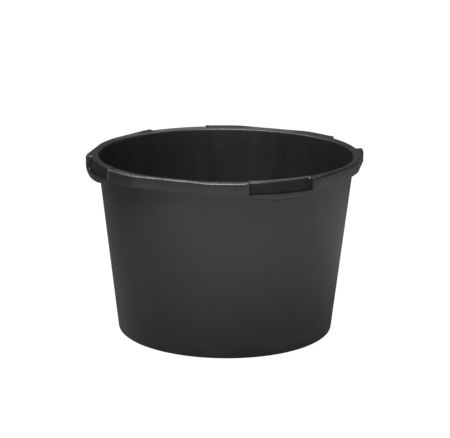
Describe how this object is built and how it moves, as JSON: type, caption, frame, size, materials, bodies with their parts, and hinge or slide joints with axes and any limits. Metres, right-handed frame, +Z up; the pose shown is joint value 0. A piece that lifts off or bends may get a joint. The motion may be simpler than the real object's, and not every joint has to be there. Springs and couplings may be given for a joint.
{
  "type": "mortar mixing tub",
  "caption": "Round tapered black plastic mortar mixing tub with a flat turned-down rim and moulded hand grips set into the rim.",
  "frame": {"origin": "centre of the standing face, on the ground under the middle of the tub", "axes": "+Z up along the tub's axis, out of its mouth; the middles of the four grips lie on +X, +Y, -X and -Y"},
  "size_m": [0.482, 0.482, 0.312],
  "materials": {
    "bowl_plastic": "satin moulded black polyethylene with a faint upright haze",
    "rim_plastic": "smooth satin black polyethylene, a little glossier on the flat of the rim",
    "grip_plastic": "finely grained matt black polyethylene"
  },
  "bodies": {
    "root": {"floor": "bowl_plastic", "foot_ring": "bowl_plastic", "side_wall": "bowl_plastic", "rim_flange": "rim_plastic", "rim_skirt_1": "rim_plastic", "grip_panel_1": "grip_plastic", "grip_end_1_left": "grip_plastic", "grip_end_1_right": "grip_plastic", "grip_bar_1": "grip_plastic", "rim_skirt_2": "rim_plastic", "grip_panel_2": "grip_plastic", "grip_end_2_left": "grip_plastic", "grip_end_2_right": "grip_plastic", "grip_bar_2": "grip_plastic", "rim_skirt_3": "rim_plastic", "grip_panel_3": "grip_plastic", "grip_end_3_left": "grip_plastic", "grip_end_3_right": "grip_plastic", "grip_bar_3": "grip_plastic", "rim_skirt_4": "rim_plastic", "grip_panel_4": "grip_plastic", "grip_end_4_left": "grip_plastic", "grip_end_4_right": "grip_plastic", "grip_bar_4": "grip_plastic"}
  },
  "joints": []
}
